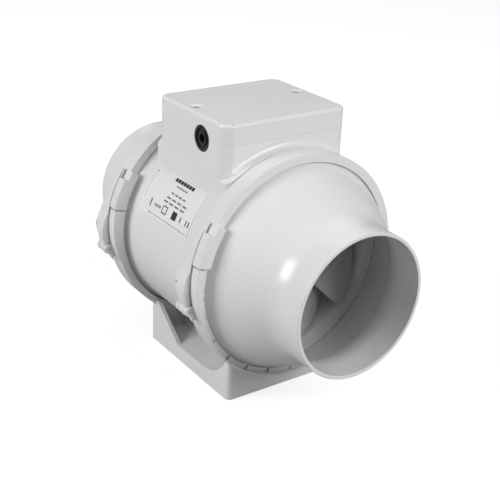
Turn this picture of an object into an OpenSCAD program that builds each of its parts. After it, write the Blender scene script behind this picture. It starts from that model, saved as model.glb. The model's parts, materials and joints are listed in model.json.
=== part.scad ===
// In-line mixed-flow extractor fan for a 100 mm round duct.
// The duct axis runs along Y at height axis_height. The inlet spigot points to -Y, the outlet to +Y.
// The terminal box is on top, the latches and the cable entry are on the -X side, the clamp hinges on +X.
// The origin is the centre of the mounting bracket's base face.

/* [Duct] */
// Outside diameter of the inlet and outlet spigots
spigot_d = 97; // [95:0.5:98]
// Length over both spigot rims
overall_length = 246; // [240:1:252]
// Wall thickness of the moulded shells
wall = 2.4; // [2:0.1:2.6]
// Radius of the concave neck where a bell meets its spigot
neck_r = 30; // [20:1:34]
// Radius of the convex bell surface
bell_r = 250; // [200:10:400]

/* [Motor block] */
// Outside diameter of the motor block's barrel
barrel_d = 138; // [137:0.5:139]
// Height of the duct axis above the base face
axis_height = 91; // [90:0.5:96]

/* [Terminal box] */
// Width of the terminal box across the duct
box_width = 96; // [94:1:98]
// Depth of the terminal box along the duct
box_depth = 81; // [78:1:82]
// Height of the terminal box's lid above the duct axis
box_top = 97; // [96:0.5:100]
// Radius of the box's upright corners
box_corner_r = 8; // [5:1:9]

/* [Mounting bracket] */
// Width of the foot
foot_width = 93; // [90:1:95]
// Depth of the foot along the duct
foot_depth = 103; // [101:1:104]
// Spacing of the fixing holes across the duct
hole_spacing_x = 50; // [40:1:56]
// Spacing of the fixing holes along the duct
hole_spacing_y = 80; // [70:1:84]
// Diameter of the fixing holes
fixing_hole_d = 5; // [4:0.5:6]

/* [Impeller] */
// Number of impeller blades
blade_count = 7; // [5:1:8]
// Radius of the impeller over its blade tips
impeller_r = 64; // [60:0.5:65]
// Angle of the first blade's leading edge, seen from the inlet
blade_phase = -44; // [-60:1:60]

/* [Guide vanes] */
// Number of fixed guide vanes
vane_count = 8; // [6:1:10]

/* [Hidden] */
$fn = 96;

shell_white = [0.87, 0.87, 0.87];
clamp_white = [0.85, 0.85, 0.86];
eps = 0.01;      // overlap that makes touching shapes of one solid fuse
fit_gap = 0.05;  // radial clearance of a running fit

// ---- Stations along the duct, measured from the mid-plane ----
casing_face = 53;                       // mating face of the motor block
seal_thick = 1;                         // thickness of a flange seal
bell_face = casing_face + seal_thick;   // mating face of a collector
flange_thick = 4;
flange_r = 74.4;
bell_start = bell_face + flange_thick;  // where the bell leaves its flange
bell_start_r = 71.3;
neck_station = 108.5;                   // where the straight spigot begins
rim_station = overall_length / 2;
spigot_r = spigot_d / 2;

barrel_r = barrel_d / 2;
barrel_bore_r = barrel_r - wall - 0.2;
flare_start = 43;
flare_r = 72;
mouth_r = 69.7;                         // bore of the flared ends

// ---- Terminal box ----
cover_depth = 13;
seam_height = box_top - cover_depth;
box_wall = 2.4;
box_side = box_width / 2;
barrel_bottom_z = 40;                   // the box's walls run down into the barrel to this height
collar_r = 77.2;                        // raised collar between the box and the clamps
collar_end = 45.8;
collar_half_width = 47.6;
collar_corner_r = 7;
collar_height = 50;
cove_r = 5;                             // fillet between the box's walls and the collar
cove_half_width = 45;
cove_corner_r = 13;                     // the fillets fade out towards the box's corners
cover_screw_x = 40;
cover_screw_y = 5.5;
boss_r = 3.8;
grommet_y = -14.5;
grommet_z = seam_height - 1.4;
grommet_hole_r = 8.6;
cable_r = 3;

// ---- Clamps: identical parts, both with the latch on the +Y side of their centre plane ----
clamp_centre = 53.5;
groove_half = 4.7;                      // half width of the groove that grips the two flanges
groove_r = 74.8;
lip_r = 72;
band_r = 77.8;
lower_band_r = 76.6;
clamp_half = 6;                         // half width of the upper half-ring
split_angle = 167.2;                    // where the lower half-ring ends on the latch side
clamp_end_angle = 166.4;
hinge_gap_angle = 1.5;
hinge_x = 80.6;
hinge_r = 3.5;
hinge_half = 3.2;                       // half width of the clamp's knuckle between the bracket's two
hinge_clearance = 0.4;
knuckle_root_r = 75.5;                  // the knuckles' webs reach down into the rings
pin_r = 1.5;
lower_front = -9;                       // the lower half-ring is wider towards the inlet
lower_back = 6;
recess_r = 75.2;                        // the front ring's retaining lip is set back behind its rim

// ---- Latches ----
latch_angle = 189;                      // direction of the latch pivot from the duct axis
latch_pivot_r = 80.6;
latch_knuckle_r = 3.5;
lever_inner_r = 78.9;
tongue_r = 80.9;                        // outside of the lever's long tongue
lever_y0 = -0.8;                        // the lever's edges, measured from the clamp's centre plane
lever_y1 = 10.2;
knuckle_y0 = 1.1;                       // the lever's knuckle between the bracket's two
knuckle_y1 = 6.5;
knuckle_gap = 0.3;
bracket_knuckle_width = 3;
tongue_top_angle = 146.5;
tongue_tip_y = 0.9;
grip_top_angle = 164;
grip_low_angle = 181.5;                 // below this the lever narrows to its knuckle
lever_end_angle = 188.5;
grip_centre_x = 60;                     // the grip's outside is an arc about its own centre
grip_r = 24;
dimple_r = 0.8;
ear_top_angle = 145.7;                  // where the clamp widens towards the inlet
raised_top_angle = 151;                 // where the clamp's raised front rib starts
raised_y1 = -1.4;
clamp_rib_r = 80.8;
bracket_rib_r = 57.9;                   // the bracket's rib is an arc about its own centre, so it fades out
bracket_rib_centre = polar(22, 170);
bracket_rib_end_angle = 203;
latch_pivot = polar(latch_pivot_r, latch_angle);

// ---- Motor, stations measured towards the inlet ----
shaft_r = 2.5;
bearing_r = 8;
bearing_width = 5;
tube_r = 10;
rotor_r = 27.5;
rotor_closed_end = 42;
hub_r = 34.5;
nose_centre = 24;
nose_r = 36;
vane_hub_r = 34.5;
vane_ring_r = barrel_bore_r;
partition_station = -12;                // face of the guide-vane hub that carries the motor
lead_y = 6.2;                           // where the motor leads rise through the conduit
lead_hole_r = 3.6;
terminal_y = -24;
terminal_base_z = 71;                   // the fittings in the terminal box stand on pads over the barrel
capacitor_y = 20;
capacitor_z = 79;
cord_clamp_x = -36;
cord_clamp_z = 70;
pad_bottom_z = 50;

// ============================ helpers ============================

// Turns a profile of (radius, station towards the inlet) about the duct axis
module about_duct() {
    translate([0, 0, axis_height]) rotate([90, 0, 0]) rotate_extrude() children();
}

// Extrudes an outline seen from the inlet between two Y stations
module across_duct(y0, y1) {
    translate([0, y1, axis_height]) rotate([90, 0, 0]) linear_extrude(y1 - y0) children();
}

module at_outlet() {
    mirror([0, 1, 0]) children();
}

function polar(r, angle) = r * [cos(angle), sin(angle)];

// Pie slice from one direction to another, wide enough to mask any ring
module slice(from, to) {
    reach = 220;
    steps = ceil((to - from) / 40);
    function rim(i) = polar(reach, from + (to - from) * i / steps);
    polygon(concat([[0, 0]], [for (i = [0:steps]) rim(i)]));
}

module ring(outer, inner) {
    difference() {
        circle(outer);
        circle(inner);
    }
}

module arc_band(outer, inner, from, to) {
    intersection() {
        ring(outer, inner);
        slice(from, to);
    }
}

module rounded_rect(w, d, r) {
    square([w, d - 2 * r], center = true);
    square([w - 2 * r, d], center = true);
    for (x = [-1, 1], y = [-1, 1]) translate([x * (w / 2 - r), y * (d / 2 - r)]) circle(r);
}

// Upright rounded block from one height above the duct axis to another
module upright(w, d, r, z0, z1) {
    translate([0, 0, axis_height + z0]) linear_extrude(z1 - z0) rounded_rect(w, d, r);
}

// Tube along the duct between two stations, measured towards the inlet
module tube(outer, inner, from, to) {
    about_duct() translate([inner, from]) square([outer - inner, to - from]);
}

// Cylinder along the duct
module rod(r, from, to) {
    translate([0, -from, axis_height]) rotate([90, 0, 0]) cylinder(r = r, h = to - from);
}

// ============================ collectors ============================

neck_centre = [spigot_r + neck_r, neck_station];
bell_corner = [bell_start_r, bell_start];
corner_to_neck = norm(neck_centre - bell_corner);
corner_turn = acos((corner_to_neck * corner_to_neck + bell_r * bell_r - (bell_r + neck_r) * (bell_r + neck_r))
    / (2 * corner_to_neck * bell_r));
corner_heading = atan2(neck_centre[1] - bell_corner[1], neck_centre[0] - bell_corner[0]) + corner_turn;
bell_centre = bell_corner + bell_r * [cos(corner_heading), sin(corner_heading)];
bell_to_neck = (neck_centre - bell_centre) / (bell_r + neck_r);

// Filled half section of a bell and its spigot, shrunk by inset: a convex arc that runs into a concave neck
module bell_outline(inset) {
    meet = bell_centre + (bell_r - inset) * bell_to_neck;
    intersection() {
        translate(bell_centre) circle(bell_r - inset, $fn = 360);
        translate([0, bell_face]) square([flange_r, meet[1] - bell_face + eps]);
    }
    difference() {
        polygon([[0, meet[1]], meet, [spigot_r - inset, neck_station], [0, neck_station]]);
        translate(neck_centre) circle(neck_r + inset, $fn = 180);
    }
    translate([0, neck_station - eps]) square([spigot_r - inset, rim_station - neck_station + eps]);
}

module collector() {
    about_duct() {
        difference() {
            bell_outline(0);
            difference() {
                bell_outline(wall);
                translate([0, rim_station + eps]) square([spigot_r, 1]);
            }
            translate([0, rim_station - 1]) square([spigot_r - wall, 2]);
            translate([0, bell_face - 1]) square([mouth_r, 1 + eps]);
        }
        translate([mouth_r + 0.3, bell_face]) square([flange_r - mouth_r - 0.3, flange_thick]);
    }
}

module inlet_collector() {
    color(shell_white) collector();
}

module outlet_collector() {
    color(shell_white) at_outlet() collector();
}

module flange_seal() {
    tube(flange_r - 0.4, mouth_r + 0.7, casing_face, bell_face);
}

module inlet_seal() {
    color("dimgray") flange_seal();
}

module outlet_seal() {
    color("dimgray") at_outlet() flange_seal();
}

// ============================ motor casing ============================

// Half section of the barrel with its flared, flanged end
module barrel_section() {
    polygon([
        [barrel_bore_r, 0], [barrel_bore_r, flare_start], [mouth_r, 49], [mouth_r, casing_face],
        [flange_r, casing_face], [flange_r, casing_face - flange_thick],
        [flare_r, casing_face - flange_thick], [barrel_r, flare_start], [barrel_r, 0]
    ]);
}

module barrel() {
    about_duct() {
        barrel_section();
        mirror([0, 1]) barrel_section();
    }
}

module cover_bosses() {
    for (x = [-1, 1]) translate([x * cover_screw_x, cover_screw_y, axis_height + 50])
        cylinder(r = boss_r, h = seam_height - 50 - 1);
}

// Concave fillets from the collar up to the box's front and rear walls
module cove_section() {
    sunk = cove_r - 0.25;
    for (end = [0, 1]) mirror([0, end]) translate([collar_r, box_depth / 2]) difference() {
        translate([-1, -1]) square([sunk + 1, sunk + 1]);
        translate([sunk, sunk]) circle(cove_r);
    }
}

// Upright prism with rounded corners that bounds the collar, or the fillets on it
module collar_bounds(half_width, corner_r) {
    upright(2 * half_width, 2 * collar_end, corner_r, barrel_bottom_z, barrel_bottom_z + collar_height);
}

// Collar under the box, level with the clamps, and the fillets on it
module collar() {
    section_half = collar_end + 1;
    intersection() {
        collar_bounds(collar_half_width, collar_corner_r);
        about_duct() translate([barrel_r - 1, -section_half])
            square([collar_r - barrel_r + 1, 2 * section_half]);
    }
    intersection() {
        collar_bounds(cove_half_width, cove_corner_r);
        about_duct() cove_section();
    }
}

module box_shell() {
    difference() {
        union() {
            upright(box_width, box_depth, box_corner_r, barrel_bottom_z, seam_height);
            collar();
        }
        difference() {
            upright(box_width - 2 * box_wall, box_depth - 2 * box_wall, box_corner_r - box_wall,
                barrel_bottom_z + 1, seam_height + 1);
            rod(barrel_r, -60, 60);
            cover_bosses();
        }
        rod(barrel_bore_r + 1, -60, 60);
    }
}

// Block that rises from the barrel to carry a fitting, given by its width, its Y range and its top
module pad(x, width, y0, y1, top) {
    translate([x - width / 2, y0, axis_height + pad_bottom_z]) cube([width, y1 - y0, top - pad_bottom_z]);
}

module pads() {
    pad(0, 34, terminal_y - 9, terminal_y + 9, terminal_base_z);
    pad(0, 18, capacitor_y - 8, capacitor_y + 8, capacitor_z - 8.5);
    pad(cord_clamp_x, 12, grommet_y - 7.5, grommet_y + 7.5, cord_clamp_z);
}

module motor_casing() {
    color(shell_white) difference() {
        union() {
            barrel();
            box_shell();
            difference() {
                pads();
                rod(barrel_bore_r + 1, -60, 60);
            }
        }
        for (x = [-1, 1]) translate([x * cover_screw_x, cover_screw_y, axis_height + seam_height - 20])
            cylinder(r = 1.4, h = 30);
        grommet_bore();
        translate([0, lead_y, axis_height + 60]) cylinder(r = lead_hole_r, h = 20);
        cord_screw_holes();
    }
}

// ============================ guide vanes ============================

module vane_hub_section() {
    difference() {
        union() {
            translate([0, -26]) square([vane_hub_r, 36]);
            intersection() {
                translate([0, -26]) circle(vane_hub_r);
                translate([0, -26 - 20]) square([vane_hub_r, 20 + eps]);
            }
        }
        translate([-1, partition_station]) square([31.5, 30]);
        intersection() {
            translate([-1, -26]) circle(vane_hub_r - 2.2);
            translate([0, -26 - 18]) square([vane_hub_r, 26 + 18 + partition_station - 3]);
        }
        translate([0, -26]) square([vane_hub_r - 2.2, 26 + partition_station - 3]);
    }
}

// Flat vane, leaning from the duct axis
module vane() {
    thickness = 1.8;
    length = 60;
    lean = 14;
    translate([0, 14, 20]) rotate([0, 0, lean]) translate([-thickness / 2, -length / 2, 0])
        cube([thickness, length, length]);
}

module guide_vanes() {
    color([0.8, 0.8, 0.8]) difference() {
        union() {
            tube(vane_ring_r, vane_ring_r - 2, -40, 10);
            about_duct() vane_hub_section();
            intersection() {
                tube(vane_ring_r - 1, vane_hub_r - 1.5, -38, 9);
                translate([0, 0, axis_height]) for (i = [0:vane_count - 1])
                    rotate([0, (i + 0.5) * 360 / vane_count, 0]) vane();
            }
            translate([0, lead_y, axis_height + vane_hub_r - 2]) cylinder(r = lead_hole_r + 1, h = 31);
        }
        translate([0, lead_y, axis_height + 20]) cylinder(r = lead_hole_r, h = 60);
        motor_screw_holes(1.6);
    }
}

// ============================ motor ============================

motor_screw_circle_r = 17;

// Places three screws on a circle about the duct axis
module at_screw_circle(r, first_angle) {
    for (i = [0:2]) let (place = polar(r, first_angle + i * 120))
        translate([place[0], 0, axis_height + place[1]]) children();
}

module at_motor_screws() {
    at_screw_circle(motor_screw_circle_r, 30) children();
}

module motor_screw_holes(r) {
    at_motor_screws() translate([0, 20, 0]) rotate([90, 0, 0]) cylinder(r = r, h = 16);
}

module motor_flange() {
    color("silver") difference() {
        union() {
            rod(24, partition_station, partition_station + 3.5);
            rod(tube_r, partition_station + 3.5 - eps, 37.5);
        }
        rod(bearing_r, -5, 0);
        rod(bearing_r, 32, 40);
        rod(6.5, -20, 40);
        motor_screw_holes(1.6);
    }
}

module motor_screws() {
    color("gray") at_motor_screws() {
        translate([0, 18.2, 0]) rotate([90, 0, 0]) cylinder(r = 1.5, h = 9.4);
        difference() {
            translate([0, 17.4, 0]) rotate([90, 0, 0]) cylinder(r = 2.9, h = 2.4);
            translate([-0.4, 16.6, -2]) cube([0.8, 1, 4]);
        }
    }
}

module stator_core() {
    slot_count = 12;
    color("dimgray") translate([0, -6, axis_height]) rotate([90, 0, 0]) linear_extrude(26) difference() {
        circle(23.2);
        circle(tube_r);
        for (i = [0:slot_count - 1]) rotate((i + 0.5) * 360 / slot_count) {
            translate([18, 0]) circle(2.2);
            translate([19, -0.6]) square([6, 1.2]);
        }
    }
}

module stator_windings() {
    slot_count = 12;
    color("peru") {
        for (station = [2.6, 35.4]) about_duct() translate([17.5, station]) circle(3.2);
        for (i = [0:slot_count - 1]) translate([0, -4, axis_height]) rotate([90, 0, 0])
            rotate((i + 0.5) * 360 / slot_count) translate([18, 0]) cylinder(r = 2, h = 30);
    }
}

// Leads rise between the rotor and the flange, pass through the conduit and turn to the terminal block
module motor_leads() {
    lead_r = 0.9;
    low_end = 18;
    high_end = 75;
    to_terminals = lead_y - terminal_y - 7.6;
    color("royalblue") for (i = [-1:1]) translate([i * 2.2, lead_y, axis_height]) {
        translate([0, 0, low_end]) cylinder(r = lead_r, h = high_end - low_end);
        for (z = [low_end, high_end]) translate([0, 0, z]) sphere(lead_r + 0.05);
        translate([0, 0, low_end]) rotate([90, 0, 0]) cylinder(r = lead_r, h = 5);
        translate([0, 0, high_end]) rotate([90, 0, 0]) cylinder(r = lead_r, h = to_terminals);
    }
}

module bearing(from) {
    bore_r = shaft_r + fit_gap;
    about_duct() difference() {
        translate([bore_r, from]) square([bearing_r - bore_r, bearing_width]);
        translate([4.4, from - 1]) square([1.9, 1.8]);
        translate([4.4, from + bearing_width - 0.8]) square([1.9, 1.8]);
    }
}

module front_bearing() {
    color("lightgray") bearing(32);
}

module rear_bearing() {
    color("lightgray") bearing(-5);
}

module motor_shaft() {
    color("silver") rod(shaft_r, -8, 44);
}

module preload_washer() {
    color("silver") tube(4, shaft_r + 0.1, 37, 37.7);
}

module shaft_circlip() {
    color("gray") translate([0, 6, axis_height]) rotate([90, 0, 0]) linear_extrude(0.8) difference() {
        circle(4.4);
        circle(shaft_r);
        translate([0, -1.2]) square([6, 2.4]);
    }
}

module rotor_can() {
    color("silver") difference() {
        union() {
            rod(rotor_r, -4, rotor_closed_end);
            rod(7, rotor_closed_end - eps, rotor_closed_end + 2);
        }
        rod(rotor_r - 1.5, -5, rotor_closed_end - 1.5);
        rod(shaft_r, -5, 50);
        impeller_screw_holes(1.2);
    }
    color("silver") difference() {
        rod(6, 37.7, rotor_closed_end - 1.5 + eps);
        rod(shaft_r, 30, 50);
    }
}

module rotor_cage() {
    color("darkgray") tube(rotor_r - 1.5, 23.6, 6, 32);
}

// ============================ impeller ============================

impeller_screw_circle_r = 14;

module at_impeller_screws() {
    at_screw_circle(impeller_screw_circle_r, 90) children();
}

module impeller_screw_holes(r) {
    at_impeller_screws() rotate([90, 0, 0]) cylinder(r = r, h = 70);
}

// Cambered blade: a thin arc about a line parallel to its leading edge, trimmed by the casing's bore
module blade() {
    camber_r = 75;
    thickness = 1.8;
    leading_station = 49;
    chord = 58;
    rise = 34;
    rotate([0, 90, 0]) linear_extrude(impeller_r + 6) translate([0, -leading_station]) intersection() {
        translate([0, camber_r]) ring(camber_r + thickness / 2, camber_r - thickness / 2);
        translate([-chord, -2]) square([chord, rise]);
    }
}

module impeller_hub() {
    about_duct() difference() {
        intersection() {
            translate([0, 13]) square([hub_r, 60]);
            translate([0, nose_centre]) circle(nose_r);
        }
        translate([-1, 12]) square([rotor_r + 1.4, rotor_closed_end - 12]);
        translate([-1, 12]) square([rotor_r + 4.4, 16]);
        square([7.3, rotor_closed_end + 2.2]);
    }
}

module impeller() {
    color([0.72, 0.72, 0.72]) difference() {
        union() {
            impeller_hub();
            intersection() {
                tube(impeller_r, hub_r - 5.5, 16, 52);
                difference() {
                    translate([0, 0, axis_height]) for (i = [0:blade_count - 1])
                        rotate([0, -blade_phase - i * 360 / blade_count, 0]) blade();
                    rod(rotor_r + 2, 0, rotor_closed_end + 2);
                }
            }
        }
        impeller_screw_holes(1.4);
        at_impeller_screws() translate([0, -46, 0]) rotate([90, 0, 0]) cylinder(r = 3, h = 30);
    }
}

module impeller_screws() {
    color("gray") at_impeller_screws() {
        translate([0, -40.8, 0]) rotate([90, 0, 0]) cylinder(r = 1.2, h = 5.3);
        translate([0, -46, 0]) rotate([90, 0, 0]) cylinder(r = 2.4, h = 1.8);
    }
}

// ============================ terminal box contents and cover ============================

// Stands children, drawn along +Z, on the box's outer side face at the cable entry, pointing inwards
module at_cable_entry() {
    translate([-box_side, grommet_y, axis_height + grommet_z]) rotate([0, 90, 0]) children();
}

module grommet_bore() {
    at_cable_entry() translate([0, 0, -1]) cylinder(r = grommet_hole_r, h = box_wall + 2);
}

module cable_grommet() {
    color("black") at_cable_entry() difference() {
        union() {
            translate([0, 0, 0.3]) cylinder(r = grommet_hole_r, h = box_wall - 0.3);
            translate([0, 0, box_wall]) cylinder(r = grommet_hole_r + 1.2, h = 1.6);
            translate([0, 0, box_wall + 1.6 - eps]) cylinder(r = cable_r + 1.6, h = 3);
        }
        translate([0, 0, -1]) cylinder(r = cable_r, h = 20);
        translate([0, 0, -1]) difference() {
            cylinder(r = 6.9, h = 2.4);
            cylinder(r = 4.6, h = 2.4);
        }
    }
}

module cover_screw_seats(r, depth) {
    for (x = [-1, 1]) translate([x * cover_screw_x, cover_screw_y, axis_height + box_top - depth])
        cylinder(r = r, h = depth + 1);
}

module terminal_cover() {
    color(shell_white) difference() {
        union() {
            difference() {
                upright(box_width, box_depth, box_corner_r, seam_height, box_top);
                upright(box_width - 2 * box_wall, box_depth - 2 * box_wall, box_corner_r - box_wall,
                    seam_height - 1, box_top - 2.5);
            }
            for (x = [-1, 1]) translate([x * cover_screw_x, cover_screw_y, axis_height + seam_height])
                cylinder(r = boss_r, h = cover_depth - 1);
        }
        cover_screw_seats(1.6, 20);
        cover_screw_seats(3.2, 3);
        grommet_bore();
        at_cable_entry() translate([0, 0, box_wall - eps]) cylinder(r = grommet_hole_r + 1.4, h = 1.8);
    }
}

module cover_screws() {
    color("gray") for (x = [-1, 1]) translate([x * cover_screw_x, cover_screw_y, axis_height + box_top]) {
        translate([0, 0, -22]) cylinder(r = 1.35, h = 20);
        difference() {
            translate([0, 0, -3]) cylinder(r = 2.8, h = 2.2);
            for (turn = [0, 90]) rotate(turn) translate([-1.8, -0.35, -1.6]) cube([3.6, 0.7, 1]);
        }
    }
}

module cover_seal() {
    color("dimgray") difference() {
        upright(box_width - 2 * box_wall - 0.2, box_depth - 2 * box_wall - 0.2, box_corner_r - box_wall,
            seam_height - 1.2, seam_height + 1.2);
        upright(box_width - 2 * box_wall - 2.6, box_depth - 2 * box_wall - 2.6, box_corner_r - box_wall - 1,
            seam_height - 2, seam_height + 2);
        at_cable_entry() cylinder(r = grommet_hole_r + 1.5, h = 8);
    }
}

terminal_ways = 5;
terminal_pitch = 6;
terminal_deck = 7;         // height of the terminal block's base

module at_terminals() {
    for (i = [0:terminal_ways - 1])
        translate([(i - (terminal_ways - 1) / 2) * terminal_pitch, terminal_y, axis_height + terminal_base_z])
            children();
}

module terminal_block() {
    span = terminal_ways * terminal_pitch;
    color("gainsboro") difference() {
        union() {
            translate([-span / 2, terminal_y - 7.5, axis_height + terminal_base_z])
                cube([span, 15, terminal_deck]);
            at_terminals() translate([-2.4, -5, terminal_deck - eps]) cube([4.8, 10, 5]);
        }
        at_terminals() {
            for (y = [-2.5, 2.5]) translate([0, y, terminal_deck - 1]) cylinder(r = 1.6, h = 10);
            translate([0, -8, 4]) rotate([-90, 0, 0]) cylinder(r = 1.4, h = 16);
        }
    }
}

module terminal_screws() {
    color("silver") at_terminals() for (y = [-2.5, 2.5]) translate([0, y, terminal_deck - 1]) difference() {
        cylinder(r = 1.5, h = 5);
        translate([-1.5, -0.25, 4.4]) cube([3, 0.5, 1]);
    }
}

module run_capacitor() {
    color("whitesmoke") translate([-21, capacitor_y, axis_height + capacitor_z]) rotate([0, 90, 0]) {
        cylinder(r = 8, h = 42);
        for (y = [-3, 3]) translate([0, y, -4]) cylinder(r = 0.8, h = 5);
    }
}

module capacitor_clip() {
    color("dimgray") translate([-5, capacitor_y, axis_height + capacitor_z]) difference() {
        union() {
            rotate([0, 90, 0]) cylinder(r = 9.6, h = 10);
            translate([0, -6, -8.5]) cube([10, 12, 4]);
        }
        translate([-1, 0, 0]) rotate([0, 90, 0]) cylinder(r = 8, h = 12);
        translate([-1, -6, 3]) cube([12, 12, 12]);
        translate([-1, -12, -30]) cube([12, 24, 21.5]);
    }
}

module at_cord_screws() {
    for (dy = [-5.4, 5.4]) translate([cord_clamp_x, grommet_y + dy, axis_height + cord_clamp_z]) children();
}

module cord_screw_holes() {
    at_cord_screws() translate([0, 0, -8]) cylinder(r = 1.2, h = 9);
}

module cord_clamp() {
    color("gainsboro") difference() {
        translate([cord_clamp_x - 4, grommet_y - 7.4, axis_height + cord_clamp_z]) cube([8, 14.8, 4]);
        translate([cord_clamp_x - 5, grommet_y, axis_height + cord_clamp_z]) rotate([0, 90, 0])
            cylinder(r = 3, h = 10);
        at_cord_screws() translate([0, 0, -1]) cylinder(r = 1.4, h = 6);
    }
}

module cord_clamp_screws() {
    color("silver") at_cord_screws() {
        translate([0, 0, -7]) cylinder(r = 1.2, h = 11.2);
        translate([0, 0, 4]) cylinder(r = 2.4, h = 1.6);
    }
}

module rating_label() {
    label_thick = 0.25;
    label_y0 = -26;
    label_y1 = 35;
    label_from = 134.8;
    label_to = 161.5;
    color("white") across_duct(label_y0, label_y1)
        arc_band(barrel_r + label_thick, barrel_r, label_from, label_to);
}

// ============================ clamps ============================

// Carries a clamp part to the front or the rear ring
module at_ring(y) {
    translate([0, y, 0]) children();
}

module at_both_rings() {
    for (y = [-clamp_centre, clamp_centre]) at_ring(y) children();
}

// Half-ring with a groove that grips a pair of flanges
module grooved_band(outer, y0, y1, from, to) {
    difference() {
        across_duct(y0, y1) arc_band(outer, lip_r, from, to);
        across_duct(-groove_half, groove_half) circle(groove_r);
    }
}

module hinge_knuckle(y0, y1) {
    across_duct(y0, y1) translate([hinge_x, 0]) circle(hinge_r);
}

module hinge_bore(r) {
    across_duct(-20, 20) translate([hinge_x, 0]) circle(r);
}

module clamp() {
    difference() {
        union() {
            grooved_band(band_r, -clamp_half, clamp_half, hinge_gap_angle, clamp_end_angle);
            across_duct(lower_front, eps - clamp_half)
                arc_band(band_r, lip_r, ear_top_angle, clamp_end_angle);
            across_duct(lower_front, raised_y1)
                arc_band(clamp_rib_r, band_r - 1, raised_top_angle, clamp_end_angle);
            hinge_knuckle(-hinge_half, hinge_half);
            across_duct(-hinge_half, hinge_half) arc_band(hinge_x, knuckle_root_r, hinge_gap_angle + 1, 9);
        }
        hinge_bore(pin_r + fit_gap);
        for (y = [[-20, -hinge_half], [hinge_half, 20]]) across_duct(y[0], y[1])
            translate([hinge_x, 0]) circle(hinge_r + hinge_clearance);
    }
}

module front_clamp() {
    color(clamp_white) at_ring(-clamp_centre) clamp();
}

module rear_clamp() {
    color(clamp_white) at_ring(clamp_centre) clamp();
}

module clamp_hinge_pins() {
    color("silver") at_both_rings()
        across_duct(hinge_ears[0][0], hinge_ears[1][1]) translate([hinge_x, 0]) circle(pin_r);
}

// ============================ latches ============================

// Side profile of the lever: a thin tongue that wraps the clamp and a thicker grip that bulges near the pivot
module lever_profile() {
    arc_band(tongue_r, lever_inner_r, tongue_top_angle, lever_end_angle);
    difference() {
        intersection() {
            translate([-grip_centre_x, 0]) circle(grip_r);
            slice(grip_top_angle, lever_end_angle);
        }
        circle(lever_inner_r);
    }
}

// Outline of the lever seen from -X: Y against the height above the duct axis
module lever_mask() {
    tip = lever_inner_r * sin(tongue_top_angle) + 3;
    shoulder = lever_inner_r * sin(grip_top_angle) + 1;
    heel = lever_inner_r * sin(grip_low_angle);
    bottom = -20;
    translate([-100, 0, axis_height]) rotate([90, 0, 90]) linear_extrude(60) polygon([
        [lever_y0, bottom], [lever_y0, tip], [tongue_tip_y, tip], [0.6 * lever_y1, shoulder],
        [0.9 * lever_y1, shoulder - 5], [lever_y1, shoulder - 9], [lever_y1, heel + 5],
        [knuckle_y1, heel], [knuckle_y1, bottom]
    ]);
}

module latch() {
    difference() {
        union() {
            intersection() {
                across_duct(lever_y0, lever_y1) lever_profile();
                lever_mask();
            }
            across_duct(knuckle_y0, knuckle_y1) translate(latch_pivot) circle(latch_knuckle_r);
        }
        for (y = [[-20, knuckle_y0], [knuckle_y1, 20]]) across_duct(y[0], y[1])
            translate(latch_pivot) circle(latch_knuckle_r + knuckle_gap);
        across_duct(-5, 20) translate(latch_pivot) circle(pin_r + fit_gap);
        translate([-90, lever_y1 - 1.4, axis_height + 4.6]) rotate([0, 90, 0]) cylinder(r = dimple_r, h = 8);
    }
}

module front_latch() {
    color(clamp_white) at_ring(-clamp_centre) latch();
}

module rear_latch() {
    color(clamp_white) at_ring(clamp_centre) latch();
}

module latch_pins() {
    color("silver") at_both_rings()
        across_duct(latch_ears[0][0] + 0.1, latch_ears[1][1] - 0.1) translate(latch_pivot) circle(pin_r);
}

// ============================ mounting bracket ============================

foot_corner_r = 4;
foot_wall = 3;
foot_top = 61;             // the walls are trimmed to the barrel below this height
side_step = 11;            // height of the floor and of the low side walls
cove_end = -19;            // where the front wall's inner fillet meets the floor
front_cove_r = 32;
rib_width = 3;             // ribs and bosses on the underside
boss_wall = 3;

latch_ears = [
    [knuckle_y0 - knuckle_gap - bracket_knuckle_width, knuckle_y0 - knuckle_gap],
    [knuckle_y1 + knuckle_gap, knuckle_y1 + knuckle_gap + bracket_knuckle_width]
];
hinge_ears = [[-7.5, -3.5], [3.5, 7.5]];

// Lower half-ring with the hinge and latch knuckles
module lower_ring() {
    difference() {
        union() {
            grooved_band(lower_band_r, lower_front, lower_back, split_angle, 360 - hinge_gap_angle);
            across_duct(lower_back - eps, latch_ears[1][1])
                arc_band(lower_band_r, lip_r + 1, latch_angle - 3, latch_angle + 11);
            for (ear = latch_ears) across_duct(ear[0], ear[1]) {
                translate(latch_pivot) circle(latch_knuckle_r);
                arc_band(latch_pivot_r, knuckle_root_r, latch_angle - 1, latch_angle + 5);
            }
            across_duct(lower_front, raised_y1 - 0.4) intersection() {
                difference() {
                    translate(bracket_rib_centre) circle(bracket_rib_r);
                    circle(knuckle_root_r);
                }
                slice(split_angle, bracket_rib_end_angle);
            }
            for (ear = hinge_ears) {
                hinge_knuckle(ear[0], ear[1]);
                across_duct(ear[0], ear[1]) arc_band(hinge_x, knuckle_root_r, 350, 359);
            }
        }
        across_duct(latch_ears[0][1], latch_ears[1][0]) translate(latch_pivot) circle(latch_knuckle_r + 0.5);
        across_duct(-20, 20) translate(latch_pivot) circle(pin_r);
        hinge_bore(pin_r);
        across_duct(hinge_ears[0][1], hinge_ears[1][0])
            translate([hinge_x, 0]) circle(hinge_r + hinge_clearance);
    }
}

// The front ring's lip is set back behind a rim and cut into segments
module front_ring_recess() {
    notch_width = 2.4;
    across_duct(lower_front - 1, -clamp_half) circle(recess_r);
    for (angle = concat([178, 183], [for (i = [0:9]) 194 + i * 15]))
        across_duct(-clamp_half - eps, eps - groove_half) rotate(angle)
            translate([lip_r - 1, -notch_width / 2]) square([recess_r - lip_r + 1, notch_width]);
}

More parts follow.
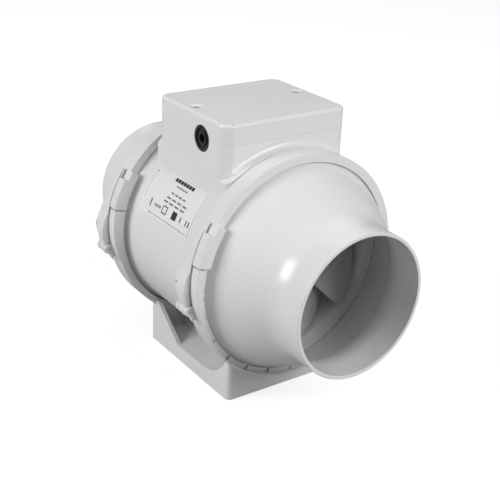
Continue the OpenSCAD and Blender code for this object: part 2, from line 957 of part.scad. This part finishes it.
// Extrudes an outline of (Y, height) across the full width of the foot
module across_foot() {
    rotate([90, 0, 90]) linear_extrude(2 * foot_width, center = true) children();
}

// Fillet that rises from the floor to the front wall
module front_cove() {
    difference() {
        translate([-foot_depth / 2, 0]) square([foot_depth / 2 + cove_end, side_step + front_cove_r]);
        translate([cove_end, side_step + front_cove_r]) circle(front_cove_r);
    }
}

// Openings in the side walls: a low sill, a slanted rear edge and the fillet in front
module side_opening() {
    sill_end = 13;
    rear_edge_y = 43;
    rear_edge_z = 34;
    difference() {
        polygon([
            [-foot_depth / 2 + foot_wall, side_step], [sill_end, side_step], [rear_edge_y, rear_edge_z],
            [rear_edge_y, foot_top], [-foot_depth / 2 + foot_wall, foot_top]
        ]);
        front_cove();
    }
}

module at_fixing_holes() {
    for (x = [-1, 1], y = [-1, 1]) translate([x * hole_spacing_x / 2, y * hole_spacing_y / 2]) children();
}

module foot_inside() {
    rounded_rect(foot_width - 2 * foot_wall, foot_depth - 2 * foot_wall, foot_corner_r / 2);
}

// Pockets in the underside, between a cross of ribs and the bosses of the fixing holes
module underside_pockets() {
    translate([0, 0, -1]) linear_extrude(side_step - foot_wall + 1) difference() {
        foot_inside();
        square([rib_width, foot_depth], center = true);
        square([foot_width, rib_width], center = true);
        at_fixing_holes() circle(fixing_hole_d / 2 + boss_wall);
    }
}

module foot() {
    difference() {
        linear_extrude(foot_top) rounded_rect(foot_width, foot_depth, foot_corner_r);
        difference() {
            translate([0, 0, side_step]) linear_extrude(foot_top) foot_inside();
            across_foot() front_cove();
        }
        across_foot() side_opening();
        rod(lip_r + 1.5, -60, 60);
        underside_pockets();
        at_fixing_holes() translate([0, 0, -1]) cylinder(r = fixing_hole_d / 2, h = side_step + 2);
    }
}

module mounting_bracket() {
    color(shell_white) difference() {
        union() {
            foot();
            at_both_rings() lower_ring();
        }
        at_both_rings() across_duct(-groove_half, groove_half) circle(groove_r);
        at_ring(-clamp_centre) front_ring_recess();
    }
}

mounting_bracket();
inlet_collector();
outlet_collector();
motor_casing();
inlet_seal();
outlet_seal();
guide_vanes();
motor_flange();
motor_screws();
stator_core();
stator_windings();
motor_leads();
front_bearing();
rear_bearing();
rotor_can();
rotor_cage();
motor_shaft();
preload_washer();
shaft_circlip();
impeller();
impeller_screws();
terminal_cover();
cover_screws();
cover_seal();
cable_grommet();
terminal_block();
terminal_screws();
run_capacitor();
capacitor_clip();
cord_clamp();
cord_clamp_screws();
rating_label();
front_clamp();
rear_clamp();
clamp_hinge_pins();
front_latch();
rear_latch();
latch_pins();
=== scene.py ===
"""Looks of the in-line duct fan: materials, label print, edge rounding, studio and camera."""

import json
import math

import bmesh
import bpy
from mathutils import Matrix, Vector

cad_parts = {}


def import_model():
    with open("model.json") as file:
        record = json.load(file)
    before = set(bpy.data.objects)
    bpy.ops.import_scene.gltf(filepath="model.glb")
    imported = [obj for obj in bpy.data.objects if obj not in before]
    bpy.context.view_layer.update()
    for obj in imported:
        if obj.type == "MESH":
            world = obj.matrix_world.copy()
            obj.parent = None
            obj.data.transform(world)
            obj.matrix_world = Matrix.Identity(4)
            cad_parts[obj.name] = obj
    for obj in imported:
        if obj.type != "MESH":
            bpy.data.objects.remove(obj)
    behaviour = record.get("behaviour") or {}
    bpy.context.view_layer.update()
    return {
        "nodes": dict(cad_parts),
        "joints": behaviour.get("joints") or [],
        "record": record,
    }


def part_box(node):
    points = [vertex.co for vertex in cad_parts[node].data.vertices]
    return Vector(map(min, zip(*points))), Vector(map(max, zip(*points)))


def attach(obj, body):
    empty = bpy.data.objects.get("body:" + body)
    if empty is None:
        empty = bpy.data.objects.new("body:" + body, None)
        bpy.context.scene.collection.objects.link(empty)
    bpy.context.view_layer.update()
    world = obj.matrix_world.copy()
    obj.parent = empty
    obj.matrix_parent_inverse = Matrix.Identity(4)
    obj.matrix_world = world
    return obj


MM = 0.001

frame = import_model()
nodes = frame["nodes"]


# ---------------------------------------------------------------- frame sizes

spin = next(j for j in frame["joints"] if j["name"] == "impeller_spin")
axis_z = spin["pos_m"][2]
axis_point = Vector((0, 0, axis_z))


# ---------------------------------------------------------------- node materials

# The Mix node's colour sockets, which share their names with its number and vector sockets.
MIX_FIRST_COLOUR = 6
MIX_SECOND_COLOUR = 7
MIX_COLOUR_RESULT = 2

BEVEL_SHADER_SAMPLES = 4


def tint(colour, factor):
    return (*[min(1.0, c * factor) for c in colour[:3]], 1.0)


class Graph:
    """Small helper for building a material's node graph."""

    def __init__(self, name):
        self.material = bpy.data.materials.new(name)
        self.material.use_nodes = True
        self.nodes = self.material.node_tree.nodes
        self.links = self.material.node_tree.links
        self.nodes.clear()
        self.coords = self.nodes.new("ShaderNodeTexCoord").outputs["Object"]
        self.shader = self.nodes.new("ShaderNodeBsdfPrincipled")
        output = self.nodes.new("ShaderNodeOutputMaterial")
        self.links.new(self.shader.outputs["BSDF"], output.inputs["Surface"])

    def put(self, value, socket):
        """Links an output to a socket, or sets the socket's own value."""
        if isinstance(value, bpy.types.NodeSocket):
            self.links.new(value, socket)
        else:
            socket.default_value = value

    def noise(self, scale, detail=3.0, roughness=0.5):
        node = self.nodes.new("ShaderNodeTexNoise")
        node.inputs["Scale"].default_value = scale
        node.inputs["Detail"].default_value = detail
        node.inputs["Roughness"].default_value = roughness
        self.links.new(self.coords, node.inputs["Vector"])
        return node.outputs["Fac"]

    def wave(self, scale, distortion):
        """A wave texture, whose type and direction the caller sets, with its strength output."""
        node = self.nodes.new("ShaderNodeTexWave")
        node.inputs["Scale"].default_value = scale
        node.inputs["Distortion"].default_value = distortion
        self.links.new(self.coords, node.inputs["Vector"])
        return node, node.outputs["Fac"]

    def spread(self, value, low=0.0, high=1.0, from_low=0.3, from_high=0.7):
        """Maps from_low..from_high, which holds most of a noise's values, to low..high."""
        node = self.nodes.new("ShaderNodeMapRange")
        self.put(value, node.inputs["Value"])
        node.inputs["From Min"].default_value = from_low
        node.inputs["From Max"].default_value = from_high
        node.inputs["To Min"].default_value = low
        node.inputs["To Max"].default_value = high
        return node.outputs["Result"]

    def mix(self, factor, first, second):
        node = self.nodes.new("ShaderNodeMix")
        node.data_type = "RGBA"
        self.put(factor, node.inputs["Factor"])
        self.put(first, node.inputs[MIX_FIRST_COLOUR])
        self.put(second, node.inputs[MIX_SECOND_COLOUR])
        return node.outputs[MIX_COLOUR_RESULT]

    def shades(self, factor, colour, first, second):
        """Mixes two shades of one colour, each given as a brightness factor."""
        return self.mix(factor, tint(colour, first), tint(colour, second))

    def rounded_normal(self, radius):
        node = self.nodes.new("ShaderNodeBevel")
        node.samples = BEVEL_SHADER_SAMPLES
        node.inputs["Radius"].default_value = radius
        return node.outputs["Normal"]

    def edges(self, rounded):
        """1 on edges and 0 on flat faces, from how far the rounded normal leans from the true one."""
        edge_dot = 0.82
        flat_dot = 0.995
        geometry = self.nodes.new("ShaderNodeNewGeometry")
        dot = self.nodes.new("ShaderNodeVectorMath")
        dot.operation = "DOT_PRODUCT"
        self.links.new(geometry.outputs["Normal"], dot.inputs[0])
        self.links.new(rounded, dot.inputs[1])
        return self.spread(dot.outputs["Value"], low=1.0, high=0.0, from_low=edge_dot, from_high=flat_dot)

    def bump(self, height, distance, normal=None):
        node = self.nodes.new("ShaderNodeBump")
        node.inputs["Distance"].default_value = distance
        node.inputs["Strength"].default_value = 1.0
        self.links.new(height, node.inputs["Height"])
        if normal is not None:
            self.links.new(normal, node.inputs["Normal"])
        return node.outputs["Normal"]

    def set(self, name, value):
        self.put(value, self.shader.inputs[name])


def moulded_plastic(name, colour, roughness, edge_radius=0.5 * MM):
    """Injection-moulded plastic: faint flow marks, a fine grain, and edges rubbed slightly paler."""
    rubbed_shade = 1.04
    roughness_spread = 0.02
    grain_depth = 0.003 * MM
    g = Graph(name)
    rounded = g.rounded_normal(edge_radius)
    flow = g.spread(g.noise(scale=16, detail=2.0))
    base = g.shades(flow, colour, 0.98, 1.0)
    g.set("Base Color", g.mix(g.edges(rounded), base, tint(colour, rubbed_shade)))
    mottle = g.noise(scale=40, detail=2.0)
    g.set("Roughness", g.spread(mottle, roughness - roughness_spread, roughness + roughness_spread))
    g.set("Normal", g.bump(g.noise(scale=2600, detail=2.0), grain_depth, rounded))
    g.set("IOR", 1.5)
    g.set("Subsurface Weight", 0.06)
    g.set("Subsurface Radius", (1.2 * MM, 1.1 * MM, 1.0 * MM))
    g.set("Subsurface Scale", 1.0)
    return g.material


def rubber(name, colour):
    """Soft rubber with a dusty, uneven bloom."""
    edge_radius = 0.3 * MM
    grain_depth = 0.03 * MM
    g = Graph(name)
    rounded = g.rounded_normal(edge_radius)
    bloom = g.spread(g.noise(scale=220, detail=5.0))
    g.set("Base Color", g.shades(bloom, colour, 0.8, 1.7))
    g.set("Roughness", g.spread(g.noise(scale=400), low=0.5, high=0.72))
    g.set("Normal", g.bump(g.noise(scale=2200), grain_depth, rounded))
    return g.material


def plated_metal(name, colour, roughness, brushed=True):
    """Plated, turned or cast metal: a mottled sheen and fine marks, which are stretched if brushed."""
    edge_radius = 0.25 * MM
    mark_depth = 0.01 * MM
    stretch = 12.0 if brushed else 1.0
    g = Graph(name)
    rounded = g.rounded_normal(edge_radius)
    mapping = g.nodes.new("ShaderNodeMapping")
    mapping.inputs["Scale"].default_value = (1.0, stretch, 1.0)
    g.links.new(g.coords, mapping.inputs["Vector"])
    plain_coords = g.coords
    g.coords = mapping.outputs["Vector"]
    marks = g.noise(scale=700, detail=4.0, roughness=0.6)
    g.coords = plain_coords
    g.set("Base Color", g.shades(g.spread(g.noise(scale=90)), colour, 0.88, 1.05))
    g.set("Metallic", 1.0)
    g.set("Roughness", g.spread(marks, roughness - 0.08, roughness + 0.1))
    g.set("Normal", g.bump(marks, mark_depth, rounded))
    return g.material


def laminations(name, colour):
    """Stacked varnished sheets: fine lines across the duct axis."""
    sheet_relief = 0.05 * MM
    g = Graph(name)
    wave, sheets = g.wave(scale=320, distortion=0.4)
    wave.bands_direction = "Y"
    g.set("Base Color", g.shades(sheets, colour, 0.6, 1.3))
    g.set("Metallic", 0.6)
    g.set("Roughness", g.spread(g.noise(scale=300), low=0.4, high=0.6))
    g.set("Normal", g.bump(sheets, sheet_relief))
    return g.material


def enamelled_wire(name, colour):
    """Wound copper: fine rounded strands."""
    strand_relief = 0.1 * MM
    g = Graph(name)
    wave, strands = g.wave(scale=400, distortion=1.5)
    wave.wave_type = "RINGS"
    wave.rings_direction = "Y"
    g.set("Base Color", g.shades(strands, colour, 0.6, 1.1))
    g.set("Metallic", 0.8)
    g.set("Roughness", g.spread(g.noise(scale=500), low=0.25, high=0.4))
    g.set("Normal", g.bump(strands, strand_relief))
    return g.material


def printed_film(name, colour):
    """Satin label film with a slightly uneven bond."""
    bond_relief = 0.03 * MM
    g = Graph(name)
    g.set("Base Color", g.shades(g.spread(g.noise(scale=60, detail=2.0)), colour, 0.97, 1.0))
    g.set("Roughness", g.spread(g.noise(scale=250), low=0.32, high=0.42))
    g.set("Normal", g.bump(g.noise(scale=90, detail=2.0), bond_relief))
    return g.material


def label_ink(name, colour):
    """Printed ink, a little mottled where the film shows through."""
    g = Graph(name)
    g.set("Base Color", g.shades(g.spread(g.noise(scale=1800), high=0.5), colour, 1.0, 2.4))
    g.set("Roughness", g.spread(g.noise(scale=900), low=0.4, high=0.55))
    return g.material


slots = {m["slot"]: m for m in frame["record"]["materials"]}


def slot_colour(slot):
    return slots[slot]["base_color"]


WHITE = (0.80, 0.795, 0.80)
CLAMP_SHADE = 0.985
WIRE_EDGE_RADIUS = 0.1 * MM

# Each plastic and metal has its name, its colour and its roughness.
finishes = {
    "housing": moulded_plastic("housing_plastic", WHITE, 0.24),
    "clamp": moulded_plastic("clamp_plastic", tint(WHITE, CLAMP_SHADE), 0.3),
    "vane": moulded_plastic("vane_plastic", (0.60, 0.60, 0.59), 0.45),
    "impeller": moulded_plastic("impeller_plastic", (0.56, 0.56, 0.555), 0.42),
    "seal": rubber("black_rubber", (0.012, 0.012, 0.013)),
    "flange_seal": rubber("pale_rubber", (0.42, 0.42, 0.415)),
    "steel": plated_metal("zinc_plated_steel", (0.62, 0.62, 0.63), 0.34),
    "aluminium": plated_metal("cast_aluminium", (0.66, 0.66, 0.67), 0.45, brushed=False),
    "lamination": laminations("motor_laminations", slot_colour("lamination")),
    "copper": enamelled_wire("enamelled_copper", slot_colour("copper")),
    "lead": moulded_plastic("wire_insulation", (0.03, 0.08, 0.35), 0.4, WIRE_EDGE_RADIUS),
    "terminal": moulded_plastic("terminal_plastic", (0.62, 0.62, 0.60), 0.42),
    "capacitor": moulded_plastic("capacitor_case", (0.70, 0.70, 0.68), 0.38),
    "label": printed_film("label_film", (0.84, 0.84, 0.83)),
}

for part in frame["record"]["subparts"]:
    mesh_object = nodes[part["node"]]
    mesh_object.data.materials.clear()
    mesh_object.data.materials.append(finishes[part["material_slot"]])


# ---------------------------------------------------------------- edge rounding on the carried-over parts

COVER_EDGE = 0.3 * MM
COVER_TOP_EDGE = 1.7 * MM
SHELL_EDGE = 0.5 * MM
BRACKET_EDGE = 0.4 * MM


def clean_facets(piece):
    """Welds the imported mesh and merges its flat facets with modifiers."""
    weld = piece.modifiers.new("weld", "WELD")
    weld.merge_threshold = 0.002 * MM
    flat = piece.modifiers.new("flat", "DECIMATE")
    flat.decimate_type = "DISSOLVE"
    flat.angle_limit = math.radians(0.4)
    flat.delimit = {"SHARP"}


def add_bevel(piece, width, segments, group=None):
    """Rounds the edges inside a vertex group, or all sharp edges if there is none."""
    bevel = piece.modifiers.new("round", "BEVEL")
    bevel.width = width
    bevel.segments = segments
    if group:
        bevel.limit_method = "VGROUP"
        bevel.vertex_group = group
        bevel.use_clamp_overlap = False
    else:
        bevel.limit_method = "ANGLE"
        bevel.angle_limit = math.radians(38)


def round_edges(node, width, top_width=0.0):
    """Rounds a part's sharp edges, and every edge of its top face more if top_width is given."""
    same_height = 0.01 * MM
    piece = nodes[node]
    rim = None
    if top_width:
        top = max(v.co.z for v in piece.data.vertices)
        rim = piece.vertex_groups.new(name="rim")
        rim.add([v.index for v in piece.data.vertices if v.co.z > top - same_height], 1.0, "REPLACE")
    clean_facets(piece)
    if rim:
        add_bevel(piece, top_width, segments=4, group=rim.name)
    add_bevel(piece, width, segments=2)
    smooth = piece.modifiers.new("weighted", "WEIGHTED_NORMAL")
    smooth.keep_sharp = True


round_edges("terminal_cover", COVER_EDGE, top_width=COVER_TOP_EDGE)
for node in ("motor_casing", "inlet_collector", "outlet_collector"):
    round_edges(node, SHELL_EDGE)
for node in ("mounting_bracket", "front_clamp", "rear_clamp", "front_latch", "rear_latch"):
    round_edges(node, BRACKET_EDGE)


# ---------------------------------------------------------------- label print

def curved_patches(name, patches, radius, ink):
    """Thin patches on the barrel.

    Each patch is (y low, y high, angle low, angle high), with the angles above -X in degrees.
    """
    step_angle = 1.5
    ink_thickness = 0.04 * MM
    mesh = bpy.data.meshes.new(name)
    bm = bmesh.new()
    for y_low, y_high, a_low, a_high in patches:
        steps = max(1, math.ceil((a_high - a_low) / step_angle))
        rows = []
        for i in range(steps + 1):
            angle = math.radians(a_low + (a_high - a_low) * i / steps)
            x = -radius * math.cos(angle)
            z = axis_z + radius * math.sin(angle)
            rows.append((bm.verts.new((x, y_low, z)), bm.verts.new((x, y_high, z))))
        for (a, b), (c, d) in zip(rows, rows[1:]):
            bm.faces.new((a, c, d, b))
    bmesh.ops.solidify(bm, geom=list(bm.faces), thickness=ink_thickness)
    bmesh.ops.recalc_face_normals(bm, faces=list(bm.faces))
    bm.to_mesh(mesh)
    bm.free()
    piece = bpy.data.objects.new(name, mesh)
    bpy.context.scene.collection.objects.link(piece)
    piece.data.materials.append(ink)
    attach(piece, "housing")


def dashes(start, end, count, fill):
    """Splits a stretch into equal dashes; fill is the inked share of each."""
    pitch = (end - start) / count
    return [(start + i * pitch, start + (i + fill) * pitch) for i in range(count)]


def label_print():
    """Generic print without lettering: a dashed heading, rows of short bars, plain marks and border lines.

    Places along the duct are in mm from the print's centre. Drops below the label's top edge and heights are
    in degrees round the barrel.
    """
    clearance = 0.06 * MM
    centre_shift = -4.5 * MM
    low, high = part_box("rating_label")
    radius = max(math.hypot(low.x, low.z - axis_z), math.hypot(high.x, high.z - axis_z)) + clearance
    centre = (low.y + high.y) / 2 + centre_shift
    top = math.degrees(math.asin((high.z - axis_z) / radius))
    dark = []
    pale = []

    def bar(ink, start, end, drop, height):
        ink.append((centre + start * MM, centre + end * MM, top - drop - height, top - drop))

    # The heading
    for start, end in dashes(-11.5, 11.5, count=7, fill=0.86):
        bar(dark, start, end, drop=1.0, height=2.1)

    # The rows: each has its drop, its start and its end
    for drop, row_start, row_end in ((4.8, -7, 6.5), (9.2, -10, 8.5), (12.2, -14.5, 11), (14.7, -14, 12.5)):
        for start, end in dashes(row_start, row_end, count=4, fill=0.72):
            bar(pale, start, end, drop, height=0.9)

    # The marks: an upright bar, three dashes, a filled block, an open box and three strokes
    mark_top = 17.4
    mark_height = 4.6
    bar(pale, 22.5, 24.0, mark_top, mark_height)
    for start, end in dashes(11, 19, count=3, fill=0.7):
        bar(pale, start, end, mark_top + 1.6, height=1.5)
    bar(dark, -9.0, -3.5, mark_top, mark_height)
    box_start = 3.0
    box_end = 8.7
    box_upright = 0.7
    box_line = 0.6
    for side in (box_start, box_end - box_upright):
        bar(dark, side, side + box_upright, mark_top, mark_height)
    for drop in (mark_top, mark_top + mark_height - box_line):
        bar(dark, box_start, box_end, drop, box_line)
    stroke_width = 1.2
    for stroke in (-14.5, -21.0, -24.0):
        bar(pale, stroke, stroke + stroke_width, mark_top + 0.6, height=3.2)

    # The border lines: one upright and one along the lower edge, and a dot at one end of each
    line = 0.3
    dot_height = 0.9
    upright = 32.6
    upright_drop = 2.2
    bar(pale, upright, upright + line, upright_drop, height=17.5)
    bar(pale, -24.5, 21.8, drop=25.0, height=line)
    bar(dark, 32.3, 33.2, upright_drop, dot_height)
    bar(dark, 21.4, 22.4, drop=24.7, height=dot_height)

    curved_patches("label_heading", dark, radius, label_ink("label_ink", (0.05, 0.05, 0.055)))
    curved_patches("label_rows", pale, radius, label_ink("label_thin_ink", (0.22, 0.22, 0.225)))


# ---------------------------------------------------------------- studio

PURE_WHITE = (1.0, 1.0, 1.0, 1.0)


def softbox(name, place, size, power):
    """A square area light that faces the middle of the duct axis."""
    light = bpy.data.lights.new(name, "AREA")
    light.shape = "SQUARE"
    light.size = size
    light.energy = power
    lamp = bpy.data.objects.new(name, light)
    lamp.location = place
    lamp.rotation_euler = (axis_point - Vector(place)).to_track_quat("-Z", "Y").to_euler()
    bpy.context.scene.collection.objects.link(lamp)


def floor():
    """A plain pale floor just under the foot, which glows for the camera only."""
    reach = 6.0
    gap = 0.2 * MM
    paint = (0.36, 0.36, 0.36, 1.0)
    glow = 0.76
    mesh = bpy.data.meshes.new("studio_floor")
    bm = bmesh.new()
    bmesh.ops.create_grid(bm, x_segments=1, y_segments=1, size=reach)
    bm.to_mesh(mesh)
    bm.free()
    piece = bpy.data.objects.new("studio_floor", mesh)
    piece.location.z = -gap
    bpy.context.scene.collection.objects.link(piece)
    g = Graph("floor_paint")
    seen = g.nodes.new("ShaderNodeLightPath").outputs["Is Camera Ray"]
    g.set("Base Color", paint)
    g.set("Roughness", g.spread(g.noise(scale=3.0), low=0.7, high=0.8))
    g.set("Emission Color", PURE_WHITE)
    g.set("Emission Strength", g.spread(seen, high=glow, from_low=0.0, from_high=1.0))
    piece.data.materials.append(g.material)


def world():
    """White to the camera, softer as a source of light."""
    seen_strength = 1.0
    fill_strength = 0.2
    scene_world = bpy.data.worlds.new("studio_world")
    scene_world.use_nodes = True
    tree = scene_world.node_tree
    background = tree.nodes["Background"]
    path = tree.nodes.new("ShaderNodeLightPath")
    strength = tree.nodes.new("ShaderNodeMapRange")
    strength.inputs["To Min"].default_value = fill_strength
    strength.inputs["To Max"].default_value = seen_strength
    tree.links.new(path.outputs["Is Camera Ray"], strength.inputs["Value"])
    tree.links.new(strength.outputs["Result"], background.inputs["Strength"])
    background.inputs["Color"].default_value = PURE_WHITE
    bpy.context.scene.world = scene_world


def studio():
    softbox("left_softbox", (-1.42, 0.40, 0.84), size=0.7, power=17)
    softbox("front_softbox", (0.50, -1.42, 1.10), size=1.1, power=22)
    softbox("back_softbox", (0.75, 1.10, 1.50), size=1.6, power=7)


def camera():
    """The photo's viewpoint: a 72 mm lens on a 36 mm frame, a little rolled."""
    azimuth = math.radians(-35.813)
    elevation = math.radians(24.484)
    roll = math.radians(2.623)
    from_axis = Vector((-369.97, -517.72, 279.22)) * MM
    outward = Vector((math.sin(azimuth), -math.cos(azimuth), 0.0))
    back = outward * math.cos(elevation) + Vector((0.0, 0.0, math.sin(elevation)))
    level = Vector((math.cos(azimuth), math.sin(azimuth), 0.0))
    rise = back.cross(level)
    right = level * math.cos(roll) + rise * math.sin(roll)
    up = rise * math.cos(roll) - level * math.sin(roll)
    lens = bpy.data.cameras.new("camera")
    lens.lens = 72
    lens.sensor_width = 36
    viewer = bpy.data.objects.new("camera", lens)
    place = Matrix((right, up, back)).transposed().to_4x4()
    place.translation = axis_point + from_axis
    viewer.matrix_world = place
    bpy.context.scene.collection.objects.link(viewer)
    bpy.context.scene.camera = viewer


label_print()
floor()
world()
studio()
camera()
bpy.context.scene.view_settings.view_transform = "Standard"
